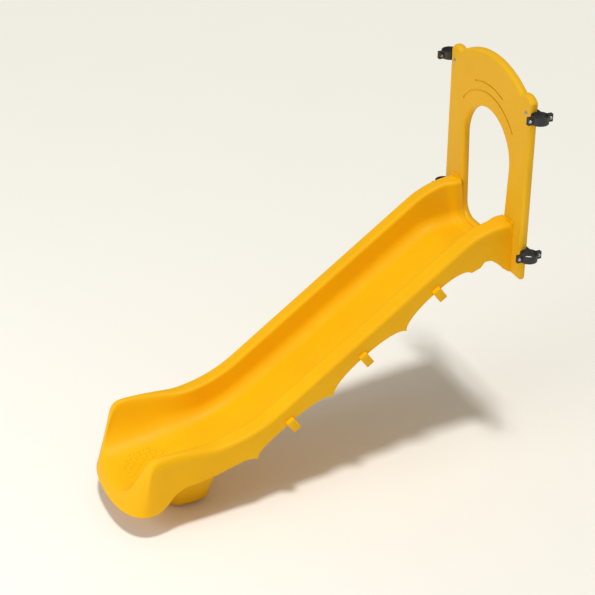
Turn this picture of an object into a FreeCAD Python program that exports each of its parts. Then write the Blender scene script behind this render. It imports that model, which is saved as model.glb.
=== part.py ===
import FreeCAD, Part
import math
import os
import Sketcher
from FreeCAD import Placement, Rotation, Vector

# A straight moulded slide with its hood panel, ready to hang on a play deck.
#
# Frame: millimetres, +Z up, +X across the slide, -Y down the slide.
# The origin is the middle of the row of deck bolts, on the back face of the hood panel.

SIZES = (
    # heights above the ground, and the run of the bed
    ("deck_height", 1372, "deck surface above the ground"),
    ("exit_height", 343, "bed above the ground at the exit"),
    ("slope_angle", 35.2, "straight run below the horizontal, in degrees"),
    ("entry_level", 18, "level bed before the upper bend"),
    ("entry_radius", 350, "upper bend, on the bed"),
    ("exit_radius", 900, "lower bend, on the bed"),
    ("exit_level", 372, "level bed after the lower bend"),
    # the section of the chute
    ("skin", 8, "moulded wall of the slide"),
    ("bed_half", 226, "centre to the corner of bed and side wall"),
    ("inner_half", 248, "centre to the top of the side wall"),
    ("outer_half", 350, "centre to the outside of the skirt, at its top"),
    ("skirt_flare", 8, "skirt further out at its lower edge"),
    ("rail_height", 182, "rail above the bed"),
    ("rail_fall", 14, "outer edge of the rail below its inner edge"),
    ("bed_round", 85, "corner of bed and side wall"),
    ("lip_round", 20, "inner edge of the rail"),
    ("rim_round", 22, "outer edge of the rail"),
    ("skirt_below", 30, "skirt below the bed"),
    # the scalloped lower edge of the skirts
    ("first_point", 150, "upper point of the skirt, from the upper corner of the bed line"),
    ("scallop_start", 92, "where the row of points would start"),
    ("scallop_pitch", 554, "one point to the next, down the slope"),
    ("scallop_count", 3, "scallop pairs on each side"),
    ("scallop_rise", 52, "top of a scallop above the bed line"),
    ("point_below", 22, "points of the skirt below the bed line"),
    ("lug_width", 50, "lug along the slope"),
    ("lug_depth", 18, "lug across the skirt"),
    ("lug_proud", 6, "lug outside the skirt"),
    ("access_rise", 128, "top of the fitter's gap behind the skirt, above the bed"),
    ("access_length", 100, "top of the fitter's gap in front of the flange"),
    # the exit
    ("rail_end_length", 72, "solid end of each rail"),
    ("rail_end_round", 62, "front corner of each rail"),
    ("nose_half", 320, "half the width of the nose"),
    ("nose_reach", 195, "length of the curved front of the nose"),
    ("nose_setback", 45, "start of that curve behind the rail ends"),
    ("nose_drop", 195, "rim of the nose below the bed, at its tip"),
    ("nose_rise", 135, "rim of the nose higher at its sides than at its tip"),
    ("nose_back", 150, "sides of the nose behind the rail ends"),
    ("nose_round", 75, "edge of the nose"),
    ("foot_setback", 90, "foot behind the rail ends"),
    ("foot_length", 480, "foot along the slide, at its top"),
    ("foot_half", 250, "half the width of the foot at its top"),
    ("foot_taper", 105, "narrowing of the foot on each side down to the ground"),
    ("foot_round", 75, "upright corners of the foot"),
    ("foot_floor", 24, "thickness of the base of the foot"),
    ("window_half", 80, "half the width of the fitter's window in the foot"),
    ("window_height", 150, "height of the fitter's window"),
    # the flange that meets the hood panel
    ("flange_half", 358, "half the width of the flange"),
    ("flange_thick", 10, "thickness of the flange"),
    ("flange_drop", 138, "flange below the deck surface"),
    ("flange_rise", 10, "flange above the rail"),
    # the hood panel
    ("panel_depth", 50, "thickness of the hood panel"),
    ("panel_half", 447, "half the width of the hood panel"),
    ("panel_drop", 145, "hood panel below the deck surface"),
    ("side_height", 942, "straight side of the panel above the deck surface"),
    ("dip_height", 963, "dip beside each shoulder above the deck surface"),
    ("dip_half", 335, "centre to the dip beside each shoulder"),
    ("crown_radius", 600, "curve of the crown"),
    ("shoulder_round", 80, "curve of each shoulder"),
    ("door_half", 254, "half the width of the doorway, where its arch starts"),
    ("door_base_half", 232, "half the width of the doorway, above its lower corners"),
    ("door_height", 730, "top of the doorway above the deck surface"),
    ("door_sill", 42, "bottom of the doorway below the deck surface"),
    ("panel_round", 20, "rounded edge of the panel"),
    ("groove_offset", 98, "long decorative groove outside the doorway"),
    ("groove_angle", 52, "long groove each way from the top, in degrees"),
    ("mark_offset", 152, "short decorative groove outside the doorway"),
    ("mark_angle", 22, "short groove each way from the top, in degrees"),
    ("groove_width", 12, "width of the decorative groove"),
    ("groove_depth", 5, "depth of the decorative groove"),
    # the posts it clamps to
    ("post_spacing", 1003, "centre to centre of the posts"),
    ("post_radius", 44.45, "post, and the bore of each clamp"),
    ("clamp_wall", 6.5, "wall of the clamp ring"),
    ("clamp_tall", 44, "height of the clamp"),
    ("clamp_gap", 4, "gap between the halves of a clamp"),
    ("clamp_lug", 26, "lug outside the ring"),
    ("clamp_lug_thick", 9, "thickness of each lug"),
    ("clamp_clearance", 3, "least gap between a clamp ring and the hood panel"),
    ("upper_clamp", 878, "upper clamps above the deck surface"),
    ("lower_clamp", 30, "lower clamps above the deck surface"),
    ("ear_thick", 6, "ear behind the hood panel"),
    ("ear_bolt_half", 400, "centre to the ear bolts"),
    ("ear_margin", 20, "ear past its bolt"),
    # fasteners
    ("bolt_radius", 5, "shank of the bolts"),
    ("bolt_clearance", 0.5, "hole around a shank, on the radius"),
    ("thread_clearance", 0.05, "thread around a shank, on the radius"),
    ("head_radius", 10, "button head"),
    ("head_tall", 5.5, "height of a button head"),
    ("socket_radius", 3, "hexagon socket, across its corners"),
    ("socket_deep", 3, "depth of the hexagon socket"),
    ("washer_radius", 12, "washer"),
    ("washer_thick", 2, "thickness of a washer"),
    ("nut_radius", 9.5, "nut, across its corners"),
    ("nut_tall", 8, "height of a nut"),
    ("insert_radius", 8, "threaded insert"),
    ("insert_length", 26, "length of an insert in the panel"),
    ("short_insert", 16, "length of an insert in the foot"),
    ("bolt_drop", 75, "deck bolts below the deck surface"),
    ("deck_bolt_pitch", 150, "one deck bolt to the next"),
    ("sleeve_radius", 9, "steel sleeve in a deck bolt hole"),
    ("flange_bolt_half", 300, "centre to the flange bolts"),
    ("flange_bolt_top", 105, "top flange bolts above the deck surface"),
    ("flange_bolt_pitch", 95, "one flange bolt to the next"),
    # the plate that holds the foot to the ground
    ("plate_half", 105, "half the width of the anchor plate"),
    ("plate_length", 120, "anchor plate along the slide"),
    ("plate_thick", 6, "thickness of the anchor plate"),
    ("anchor_half", 75, "centre to the ground anchor holes"),
    ("anchor_radius", 7, "ground anchor hole"),
    ("plate_bolt_half", 35, "centre to the bolts of the plate"),
)


class Size:
    """A measure worked out from the sheet, with the expression that keeps it bound."""

    def __init__(self, value, text):
        self.value = value
        self.text = text

    def __add__(self, other):
        other = measure(other)
        return Size(self.value + other.value, f"({self.text} + {other.text})")

    def __sub__(self, other):
        other = measure(other)
        return Size(self.value - other.value, f"({self.text} - {other.text})")

    def __mul__(self, other):
        other = measure(other)
        return Size(self.value * other.value, f"({self.text} * {other.text})")

    def __truediv__(self, other):
        other = measure(other)
        return Size(self.value / other.value, f"({self.text} / {other.text})")

    def __neg__(self):
        return Size(-self.value, f"(0 - {self.text})")


def measure(value):
    """Give a plain number the form of a Size."""
    if isinstance(value, Size):
        return value
    return Size(float(value), repr(float(value)))


def sine(angle):
    return Size(math.sin(math.radians(angle.value)), f"sin({angle.text})")


def cosine(angle):
    return Size(math.cos(math.radians(angle.value)), f"cos({angle.text})")


def leg(slant, offset):
    """The other side of a right triangle."""
    return Size(math.sqrt(slant.value ** 2 - offset.value ** 2), f"sqrt({slant.text} ^ 2 - {offset.text} ^ 2)")


class Measures:
    """Every alias of the sheet as an attribute that holds a Size."""


doc = FreeCAD.newDocument("straight_slide")
sheet = doc.addObject("Spreadsheet::Sheet", "Sizes")
have = Measures()
for row, (alias, number, note) in enumerate(SIZES, start=1):
    sheet.set(f"A{row}", alias)
    sheet.set(f"B{row}", str(number))
    sheet.set(f"C{row}", note)
    sheet.setAlias(f"B{row}", alias)
doc.recompute()
for alias, number, note in SIZES:
    setattr(have, alias, Size(float(sheet.get(alias)), f"Sizes.{alias}"))

# Places that several pieces share.
DECK_Z = have.bolt_drop
GROUND_Z = have.bolt_drop - have.deck_height
EXIT_Z = GROUND_Z + have.exit_height
FRONT_Y = -have.panel_depth
POST_Y = FRONT_Y / 2
POST_X = have.post_spacing / 2
HOLE_RADIUS = have.bolt_radius + have.bolt_clearance
THREAD_RADIUS = have.bolt_radius + have.thread_clearance
RING_RADIUS = have.post_radius + have.clamp_wall
UPPER_Z = DECK_Z + have.upper_clamp
LOWER_Z = DECK_Z + have.lower_clamp
SIDE_Z = DECK_Z + have.side_height
DIP_Z = DECK_Z + have.dip_height
DOOR_TOP_Z = DECK_Z + have.door_height
DOOR_SPRING_Z = DOOR_TOP_Z - have.door_half
PANEL_BASE_Z = DECK_Z - have.panel_drop
DOOR_BASE_Z = DECK_Z - have.door_sill
FLANGE_FRONT_Y = FRONT_Y - have.flange_thick
BENDS = have.entry_radius + have.exit_radius
BENDS_FALL = BENDS * (measure(1) - cosine(have.slope_angle))
STRAIGHT = (have.deck_height - have.exit_height - BENDS_FALL) / sine(have.slope_angle)
EXIT_Y = (FRONT_Y - have.entry_level - have.exit_level - BENDS * sine(have.slope_angle)
          - STRAIGHT * cosine(have.slope_angle))
FOOT_Y = EXIT_Y + have.foot_setback + have.foot_length / 2
FLOOR_Z = GROUND_Z + have.foot_floor
EAR_END_X = have.ear_bolt_half - have.ear_margin
LUG_BOLT_Y = RING_RADIUS + have.clamp_lug / 2
THREAD_END = measure(3)
FLANGE_BOLT_Z = tuple(DECK_Z + have.flange_bolt_top - have.flange_bolt_pitch * row for row in range(3))
DECK_BOLT_X = tuple(have.deck_bolt_pitch * step for step in (-1.5, -0.5, 0.5, 1.5))
SIDES = (("left", -1), ("right", 1))


# ---------------------------------------------------------------- helpers

def bind(thing, prop, size):
    """Tie one property of an object to the sheet."""
    thing.setExpression(prop, measure(size).text)


def place(thing, x=0, y=0, z=0):
    """Tie an object's position to the sheet."""
    for axis, size in (("x", x), ("y", y), ("z", z)):
        bind(thing, f"Placement.Base.{axis}", size)


def turn(thing, axis, degrees):
    thing.Placement = Placement(thing.Placement.Base, Rotation(axis, degrees))


def origin_plane(body, role):
    """Find one of a body's own origin planes."""
    return next(item for item in body.Origin.OriginFeatures if item.Role == role)


def new_sketch(body, role, name, offset=0):
    """Put a sketch on one of the body's own planes, moved along its normal."""
    sketch = body.newObject("Sketcher::SketchObject", name)
    sketch.AttachmentSupport = [(origin_plane(body, role), "")]
    sketch.MapMode = "FlatFace"
    bind(sketch, "AttachmentOffset.Base.z", offset)
    return sketch


def tie_point(sketch, geometry, end, x, y):
    """Fix one end of a sketch edge by its two coordinates."""
    for kind, size in (("DistanceX", x), ("DistanceY", y)):
        size = measure(size)
        index = sketch.addConstraint(Sketcher.Constraint(kind, -1, 1, geometry, end, size.value))
        sketch.setExpression(f"Constraints[{index}]", size.text)


def arc_centre(start, finish, radius, left):
    """Centre of the arc from start to finish that bulges to the left or right."""
    chord = finish - start
    height = math.sqrt(max(radius ** 2 - (chord.Length / 2) ** 2, 0.0))
    across = Vector(-chord.y, chord.x, 0).normalize()
    return (start + finish) / 2 + across * (-height if left else height)


def draw_loop(sketch, corners):
    """Draw a closed outline. A corner is (x, y) after a straight edge, or (x, y, radius, side) after
    an arc of that radius that bulges to the "left" or "right" of the way it is drawn."""
    points = [Vector(measure(c[0]).value, measure(c[1]).value, 0) for c in corners]
    ends = []
    for index, corner in enumerate(corners):
        start, finish = points[index - 1], points[index]
        if len(corner) == 2:
            edge = sketch.addGeometry(Part.LineSegment(start, finish), False)
            ends.append((edge, 1, 2))
            continue
        radius = measure(corner[2])
        left = corner[3] == "left"
        centre = arc_centre(start, finish, radius.value, left)
        circle = Part.Circle(centre, Vector(0, 0, 1), radius.value)
        first, last = (finish, start) if left else (start, finish)
        arc = Part.ArcOfCircle(circle, circle.parameter(first), circle.parameter(last))
        edge = sketch.addGeometry(arc, False)
        ends.append((edge, 2, 1) if left else (edge, 1, 2))
        index_of = sketch.addConstraint(Sketcher.Constraint("Radius", edge, radius.value))
        sketch.setExpression(f"Constraints[{index_of}]", radius.text)
    for index, (edge, near, far) in enumerate(ends):
        following, its_near, its_far = ends[(index + 1) % len(ends)]
        sketch.addConstraint(Sketcher.Constraint("Coincident", edge, far, following, its_near))
        tie_point(sketch, edge, far, corners[index][0], corners[index][1])


def draw_circle(sketch, x, y, radius):
    """Draw a circle tied by its centre and radius."""
    radius = measure(radius)
    centre = Vector(measure(x).value, measure(y).value, 0)
    edge = sketch.addGeometry(Part.Circle(centre, Vector(0, 0, 1), radius.value), False)
    index = sketch.addConstraint(Sketcher.Constraint("Radius", edge, radius.value))
    sketch.setExpression(f"Constraints[{index}]", radius.text)
    tie_point(sketch, edge, 3, x, y)


def pad(body, sketch, name, length):
    feature = body.newObject("PartDesign::Pad", name)
    feature.Profile = sketch
    bind(feature, "Length", length)
    return feature


def pocket(body, sketch, name, depth=None, flipped=False):
    """Cut the sketch right through both ways, or to a depth against its normal, or along it."""
    before = body_volume(body)
    feature = body.newObject("PartDesign::Pocket", name)
    feature.Profile = sketch
    if depth is None:
        feature.Type = "ThroughAll"
        feature.Midplane = True
    else:
        feature.Reversed = flipped
        bind(feature, "Length", depth)
    doc.recompute()
    if not body_volume(body) < before:
        raise RuntimeError(f"{name} cuts nothing")
    return feature


def body_volume(body):
    doc.recompute()
    return body.Shape.Volume


def new_body(label):
    body = doc.addObject("PartDesign::Body", label)
    body.Label = label
    return body


def cylinder(name, radius, tall):
    thing = doc.addObject("Part::Cylinder", name)
    bind(thing, "Radius", radius)
    bind(thing, "Height", tall)
    return thing


def prism(name, radius, tall):
    """A hexagonal prism, measured across its corners."""
    thing = doc.addObject("Part::Prism", name)
    thing.Polygon = 6
    bind(thing, "Circumradius", radius)
    bind(thing, "Height", tall)
    return thing


def fuse(name, *things):
    thing = doc.addObject("Part::MultiFuse", name)
    thing.Shapes = list(things)
    return thing


def cut(name, base, tool):
    thing = doc.addObject("Part::Cut", name)
    thing.Base = base
    thing.Tool = tool
    return thing


def group(label, things):
    """Identical fasteners share one node, as separate solids."""
    thing = doc.addObject("Part::Compound", label)
    thing.Links = list(things)
    thing.Label = label
    return thing


# ---------------------------------------------------------------- fasteners
# Each is made along +Z: the face under a head, or the near face of a washer, is at z = 0.

def button_bolt(name, length):
    """A bolt whose shank runs down -Z from a domed head with a hexagon socket."""
    shank = cylinder(f"{name}_shank", have.bolt_radius, length)
    place(shank, z=-measure(length))
    head = doc.addObject("Part::Cone", f"{name}_head")
    bind(head, "Radius1", have.head_radius)
    bind(head, "Radius2", have.head_radius * 0.55)
    bind(head, "Height", have.head_tall)
    socket = prism(f"{name}_socket", have.socket_radius, have.head_tall)
    place(socket, z=have.head_tall - have.socket_deep)
    return cut(name, fuse(f"{name}_blank", shank, head), socket)


def ring(name, outer, inner, tall):
    """A washer, sleeve or insert that rises from z = 0."""
    hole = cylinder(f"{name}_hole", inner, tall * 2)
    place(hole, z=-tall / 2)
    return cut(name, cylinder(f"{name}_blank", outer, tall), hole)


def hex_nut(name):
    hole = cylinder(f"{name}_hole", THREAD_RADIUS, have.nut_tall * 2)
    place(hole, z=-have.nut_tall / 2)
    return cut(name, prism(f"{name}_blank", have.nut_radius, have.nut_tall), hole)


def face_forward(thing, x, y, z):
    """Point a fastener's +Z along -Y, out of the front of the panel."""
    turn(thing, Vector(1, 0, 0), 90)
    place(thing, x, y, z)
    return thing


def face_back(thing, x, y, z):
    """Point a fastener's +Z along +Y, out of the back of the panel."""
    turn(thing, Vector(1, 0, 0), -90)
    place(thing, x, y, z)
    return thing


def face_side(thing, side, x, y, z):
    """Point a fastener's +Z outwards, along +X or -X."""
    turn(thing, Vector(0, 1, 0), 90 * side)
    place(thing, x, y, z)
    return thing


# ---------------------------------------------------------------- the moulded slide

def value_of(size):
    return measure(size).value


def section_point(x, rise):
    """A point of the chute's section, on the plane where the bed starts."""
    return Vector(x, value_of(FRONT_Y), value_of(DECK_Z) + rise)


def rounded_wire(corners, to_point):
    """A closed wire through corners (u, v, radius), with arcs where the radius isn't zero."""
    flat = [Vector(u, v, 0) for u, v, radius in corners]
    edges = []
    starts = []
    for index, (u, v, radius) in enumerate(corners):
        here = flat[index]
        back = (flat[index - 1] - here).normalize()
        ahead = (flat[(index + 1) % len(flat)] - here).normalize()
        half = back.getAngle(ahead) / 2
        reach = radius / math.tan(half) if radius else 0.0
        middle = here + (back + ahead).normalize() * (radius / math.sin(half) - radius) if radius else here
        starts.append((here + back * reach, middle, here + ahead * reach))
    for index, (into, middle, out) in enumerate(starts):
        following = starts[(index + 1) % len(starts)][0]
        if corners[index][2]:
            edges.append(Part.Arc(to_point(into), to_point(middle), to_point(out)).toShape())
        edges.append(Part.LineSegment(to_point(out), to_point(following)).toShape())
    return Part.Wire(edges)


def on_section(flat):
    return section_point(flat.x, flat.y)


def on_plan(flat):
    """Outline seen from above."""
    return Vector(flat.x, flat.y, 0)


def bed_path():
    """The middle of the bed: level, bend, straight slope, bend, level."""
    slope = math.radians(have.slope_angle.value)
    upper, lower = have.entry_radius.value, have.exit_radius.value
    start = section_point(0, 0)
    bend = start + Vector(0, -have.entry_level.value, 0)
    upper_middle = bend + Vector(0, -math.sin(slope / 2), math.cos(slope / 2) - 1) * upper
    upper_end = bend + Vector(0, -math.sin(slope), math.cos(slope) - 1) * upper
    lower_start = upper_end + Vector(0, -math.cos(slope), -math.sin(slope)) * STRAIGHT.value
    lower_end = lower_start + Vector(0, -math.sin(slope), math.cos(slope) - 1) * lower
    lower_middle = lower_end + Vector(0, math.sin(slope / 2), 1 - math.cos(slope / 2)) * lower
    finish = Vector(0, EXIT_Y.value, EXIT_Z.value)
    edges = [
        Part.LineSegment(start, bend).toShape(),
        Part.Arc(bend, upper_middle, upper_end).toShape(),
        Part.LineSegment(upper_end, lower_start).toShape(),
        Part.Arc(lower_start, lower_middle, lower_end).toShape(),
        Part.LineSegment(lower_end, finish).toShape(),
    ]
    return Part.Wire(edges), finish


def sweep(profile, path):
    return path.makePipeShell([profile], True, False)


def section_corners():
    """The visible side of the section, from the left skirt to the right: (x, rise, radius)."""
    bed, inner, outer = have.bed_half.value, have.inner_half.value, have.outer_half.value
    rail, edge = have.rail_height.value, have.rail_height.value - have.rail_fall.value
    right = [
        (bed, 0.0, have.bed_round.value),
        (inner, rail, have.lip_round.value),
        (outer, edge, have.rim_round.value),
        (outer + have.skirt_flare.value, -have.skirt_below.value, 0.0),
    ]
    left = [(-x, rise, radius) for x, rise, radius in reversed(right)]
    return left + right


def under_skin(corners):
    """The same outline one skin further in, for the hidden side of the moulding."""
    skin = have.skin.value
    points = [Vector(x, rise, 0) for x, rise, radius in corners]
    inside = []
    for index, (x, rise, radius) in enumerate(corners):
        before = (points[index] - points[index - 1]).normalize() if index else None
        after = (points[index + 1] - points[index]).normalize() if index + 1 < len(points) else None
        before = before or after
        after = after or before
        normals = [Vector(way.y, -way.x, 0) for way in (before, after)]
        across = (normals[0] + normals[1]).normalize()
        shift = across * (skin / across.dot(normals[0]))
        bulges = before.cross(after).z > 0
        inner_radius = radius + skin if bulges else radius - skin
        inside.append((x + shift.x, rise + shift.y, inner_radius if radius else 0.0))
    return inside


def chute_shell(path):
    """Bed, side walls, rails and skirts in one moulded skin."""
    visible = section_corners()
    hidden = under_skin(visible)
    return sweep(rounded_wire(visible + hidden[::-1], on_section), path)


def rider_space(path, inset):
    """Everything above the bed and between the walls, reaching inset into the skin."""
    top = have.rail_height.value * 2
    bed, inner = have.bed_half.value + inset, have.inner_half.value + inset
    lean = (have.inner_half.value - have.bed_half.value) / have.rail_height.value
    wide = inner + lean * have.rail_height.value
    radius = have.bed_round.value + inset
    corners = [(-bed, -inset, radius), (bed, -inset, radius), (wide, top, 0.0), (-wide, top, 0.0)]
    return sweep(rounded_wire(corners, on_section), path)


def scallop_outline():
    """The lower edge of a skirt, from the flange down to its last point, seen from +X."""
    pitch, rise, tip = have.scallop_pitch.value, have.scallop_rise.value, -have.point_below.value
    half_lug = have.lug_width.value / 2
    side = rise * 0.9
    deck, back = value_of(DECK_Z), value_of(FRONT_Y)
    gap_top = deck + have.access_rise.value
    gap_back = Vector(0, back, gap_top)
    gap_front = Vector(0, back - have.access_length.value, gap_top)
    point = along_slope(have.first_point.value, 0)
    bend = (gap_front + point) / 2 + Vector(0, have.lug_width.value / 2, 0)
    edges = [
        Part.LineSegment(gap_back, gap_front).toShape(),
        Part.Arc(gap_front, bend, point).toShape(),
    ]
    for number in range(int(have.scallop_count.value)):
        lug = have.scallop_start.value + (number + 0.5) * pitch
        following = along_slope(lug + pitch / 2, tip)
        upper_side, lower_side = along_slope(lug - half_lug, side), along_slope(lug + half_lug, side)
        reach = (pitch / 2 - half_lug) / 2
        edges += [
            Part.Arc(point, along_slope(lug - half_lug - reach, rise), upper_side).toShape(),
            Part.LineSegment(upper_side, lower_side).toShape(),
            Part.Arc(lower_side, along_slope(lug + half_lug + reach, rise * 0.75), following).toShape(),
        ]
        point = following
    deep = Vector(0, 0, -have.deck_height.value / 4)
    edges += [
        Part.LineSegment(point, point + deep).toShape(),
        Part.LineSegment(point + deep, gap_back + deep * 2).toShape(),
        Part.LineSegment(gap_back + deep * 2, gap_back).toShape(),
    ]
    return Part.Face(Part.Wire(edges))


def scallop_cutters():
    """What the scalloped edge leaves out of each skirt."""
    face = scallop_outline()
    start = have.inner_half.value + 2 * have.skin.value
    width = have.outer_half.value + 2 * have.skirt_flare.value - start
    cutters = []
    for side in (-1, 1):
        tool = face.extrude(Vector(width, 0, 0))
        tool.translate(Vector(side * (start + width / 2) - width / 2, 0, 0))
        cutters.append(tool)
    return cutters


def upper_corner():
    """Where the level bed and the straight slope would meet."""
    slope = math.radians(have.slope_angle.value)
    reach = have.entry_level.value + have.entry_radius.value * math.tan(slope / 2)
    return section_point(0, 0) + Vector(0, -reach, 0)


def along_slope(distance, rise):
    """A point measured down the slope from its upper corner, and away from the bed."""
    slope = math.radians(have.slope_angle.value)
    down = Vector(0, -math.cos(slope), -math.sin(slope))
    away = Vector(0, -math.sin(slope), math.cos(slope))
    return upper_corner() + down * distance + away * rise


def skirt_lugs():
    """Square blocks on the skirt, half way between its points."""
    lugs = []
    depth = have.lug_depth.value
    for number in range(int(have.scallop_count.value)):
        centre = have.scallop_start.value + (number + 0.5) * have.scallop_pitch.value
        near, far = centre - have.lug_width.value / 2, centre + have.lug_width.value / 2
        low, high = -have.point_below.value / 2, have.scallop_rise.value * 1.5
        corners = [along_slope(near, low), along_slope(far, low), along_slope(far, high),
                   along_slope(near, high)]
        face = Part.Face(Part.makePolygon(corners + corners[:1]))
        for side in (-1, 1):
            block = face.extrude(Vector(depth, 0, 0))
            middle = side * (have.outer_half.value + have.lug_proud.value - depth / 2)
            block.translate(Vector(middle - depth / 2, 0, 0))
            lugs.append(block)
    return lugs


def rail_ends(finish, space):
    """Solid, rounded ends of the two rails."""
    inner, outer = have.inner_half.value, have.outer_half.value
    rail, edge = have.rail_height.value, have.rail_height.value - have.rail_fall.value
    length, radius = have.rail_end_length.value, have.rail_end_round.value
    blocks = []
    for side in (-1, 1):
        corners = [
            (side * have.bed_half.value, -have.skirt_below.value, 0.0),
            (side * have.bed_half.value, rail, 0.0),
            (side * inner, rail, 0.0),
            (side * outer, edge, have.rim_round.value),
            (side * (outer + have.skirt_flare.value), -have.skirt_below.value, 0.0),
        ]
        face = Part.Face(rounded_wire(corners, on_section))
        block = face.extrude(Vector(0, -length, 0))
        block.translate(Vector(0, finish.y + length, finish.z) - Vector(0, value_of(FRONT_Y), value_of(DECK_Z)))
        blocks.append(block.cut(space))
    return blocks


def rail_rounding(finish):
    """The corner that is rounded off the front of both rails."""
    radius, rail = have.rail_end_round.value, have.rail_height.value
    wide = have.outer_half.value * 2 + 2 * have.skin.value
    front, top = finish.y, finish.z + rail
    box = Part.makeBox(wide, radius * 2, radius * 2, Vector(-wide / 2, front - radius, top - radius))
    keep = Part.makeCylinder(radius, wide, Vector(-wide / 2, front + radius, top - radius), Vector(1, 0, 0))
    behind = Part.makeBox(wide, radius, radius * 2, Vector(-wide / 2, front + radius, top - radius))
    return box.cut(keep).cut(behind)


def nose_block(finish, inset):
    """The rounded block that the nose is moulded around."""
    half, reach = have.nose_half.value - inset, have.nose_reach.value - inset
    top = finish.z - inset
    base = finish.z - have.nose_drop.value - inset
    back = finish.y + have.nose_back.value + inset
    start = finish.y + have.nose_setback.value
    ellipse = Part.Ellipse(Vector(0, start, base), half, reach)
    left, right = Vector(-half, start, base), Vector(half, start, base)
    left_back, right_back = Vector(-half, back, base), Vector(half, back, base)
    edges = [
        Part.ArcOfEllipse(ellipse, math.pi, 2 * math.pi).toShape(),
        Part.LineSegment(right, right_back).toShape(),
        Part.LineSegment(right_back, left_back).toShape(),
        Part.LineSegment(left_back, left).toShape(),
    ]
    block = Part.Face(Part.Wire(edges)).extrude(Vector(0, 0, top - base))
    upper = [edge for edge in block.Edges
             if edge.BoundBox.ZMin > top - 0.1 and edge.BoundBox.YMin < back - 0.1]
    return block.makeFillet(have.nose_round.value - inset, upper)


def nose_rim_cutter(finish):
    """The rim of the nose rises in a curve from its tip to the skirts."""
    front = finish.y + have.nose_setback.value - have.nose_reach.value
    tip = Vector(0, front, finish.z - have.nose_drop.value)
    side = Vector(0, finish.y + have.nose_back.value, tip.z + have.nose_rise.value)
    middle = (tip + side) / 2 + Vector(0, 0, -have.nose_rise.value * 0.28)
    deep = Vector(0, 0, -have.nose_rise.value - have.nose_drop.value)
    past = Vector(0, have.nose_back.value, 0)
    outline = [
        Part.Arc(tip, middle, side).toShape(),
        Part.LineSegment(side, side + past).toShape(),
        Part.LineSegment(side + past, side + past + deep).toShape(),
        Part.LineSegment(side + past + deep, tip + deep).toShape(),
        Part.LineSegment(tip + deep, tip).toShape(),
    ]
    half = have.outer_half.value
    cutter = Part.Face(Part.Wire(outline)).extrude(Vector(2 * half, 0, 0))
    cutter.translate(Vector(-half, 0, 0))
    return cutter


def nose_shell(finish, space):
    """The drooping nose at the end of the bed, hollow underneath."""
    shell = nose_block(finish, 0.0).cut(nose_block(finish, have.skin.value))
    return shell.cut(space).cut(nose_rim_cutter(finish))


def foot_block(inset, base_z, top_z):
    """The tapering foot, whole or hollowed by inset."""
    height = value_of(EXIT_Z) - value_of(GROUND_Z)
    wires = []
    for level in (base_z, top_z):
        taper = have.foot_taper.value * (value_of(EXIT_Z) - level) / height
        half = have.foot_half.value - taper - inset
        long_half = have.foot_length.value / 2 - taper / 2 - inset
        middle = FOOT_Y.value
        radius = have.foot_round.value - inset
        corners = [(-half, middle - long_half, radius), (half, middle - long_half, radius),
                   (half, middle + long_half, radius), (-half, middle + long_half, radius)]
        wire = rounded_wire(corners, on_plan)
        wire.translate(Vector(0, 0, level))
        wires.append(wire)
    return Part.makeLoft(wires, True)


def foot_shell(finish, space):
    """A hollow foot that stands on the ground, open to the fitter at its back."""
    ground = value_of(GROUND_Z)
    above = finish.z + have.rail_height.value
    outer = foot_block(0.0, ground, above).cut(space)
    inner = foot_block(have.skin.value, FLOOR_Z.value, above)
    half = have.window_half.value
    window = Part.makeBox(2 * half, have.foot_length.value, have.window_height.value,
                          Vector(-half, FOOT_Y.value, FLOOR_Z.value))
    return outer.cut(inner).cut(window)


def entry_flange(space):
    """The flat flange against the hood panel, open where the rider passes."""
    half = have.flange_half.value
    base = value_of(DECK_Z) - have.flange_drop.value
    top = value_of(DECK_Z) + have.rail_height.value + have.flange_rise.value
    corners = [(-half, base, 24.0), (half, base, 24.0), (half, top, 34.0), (-half, top, 34.0)]
    wire = rounded_wire(corners, lambda flat: Vector(flat.x, value_of(FRONT_Y), flat.y))
    plate = Part.Face(wire).extrude(Vector(0, -have.flange_thick.value, 0))
    return plate.cut(space)


def bore(x, y, z, radius, way, length):
    return Part.makeCylinder(radius, length, Vector(x, y, z), way)


def slide_holes():
    """Every hole that a fastener passes through or sits in."""
    holes = []
    back = value_of(FRONT_Y)
    front, up = Vector(0, -1, 0), Vector(0, 0, 1)
    thick, floor = 3 * have.flange_thick.value, have.foot_floor.value
    insert_z = FLOOR_Z.value - have.short_insert.value
    for side in (-1, 1):
        bolt_x = side * have.flange_bolt_half.value
        for level in FLANGE_BOLT_Z:
            holes.append(bore(bolt_x, back + 1, level.value, HOLE_RADIUS.value, front, thick))
        anchor_x, plate_x = side * have.anchor_half.value, side * have.plate_bolt_half.value
        holes.append(bore(anchor_x, FOOT_Y.value, GROUND_Z.value - 1, have.anchor_radius.value, up, floor + 2))
        holes.append(bore(plate_x, FOOT_Y.value, insert_z, have.insert_radius.value, up, floor))
    for x in DECK_BOLT_X:
        holes.append(bore(x.value, back + 1, 0, have.sleeve_radius.value, front, thick))
    return holes


def slide_bedway():
    """The one-piece moulded chute: no sketch or primitive follows its swept skin."""
    path, finish = bed_path()
    space = rider_space(path, 0.0)
    within = rider_space(path, have.skin.value / 2)
    shell = chute_shell(path)
    for cutter in scallop_cutters():
        shell = shell.cut(cutter)
    pieces = rail_ends(finish, space) + skirt_lugs()
    pieces += [nose_shell(finish, space), foot_shell(finish, within), entry_flange(space)]
    shape = shell.multiFuse(pieces).cut(rail_rounding(finish))
    for hole in slide_holes():
        shape = shape.cut(hole)
    thing = doc.addObject("Part::Feature", "slide_bedway")
    thing.Shape = shape.removeSplitter()
    thing.Label = "slide_bedway"
    thing.Placement = Placement()
    return thing


# ---------------------------------------------------------------- the hood panel

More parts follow.
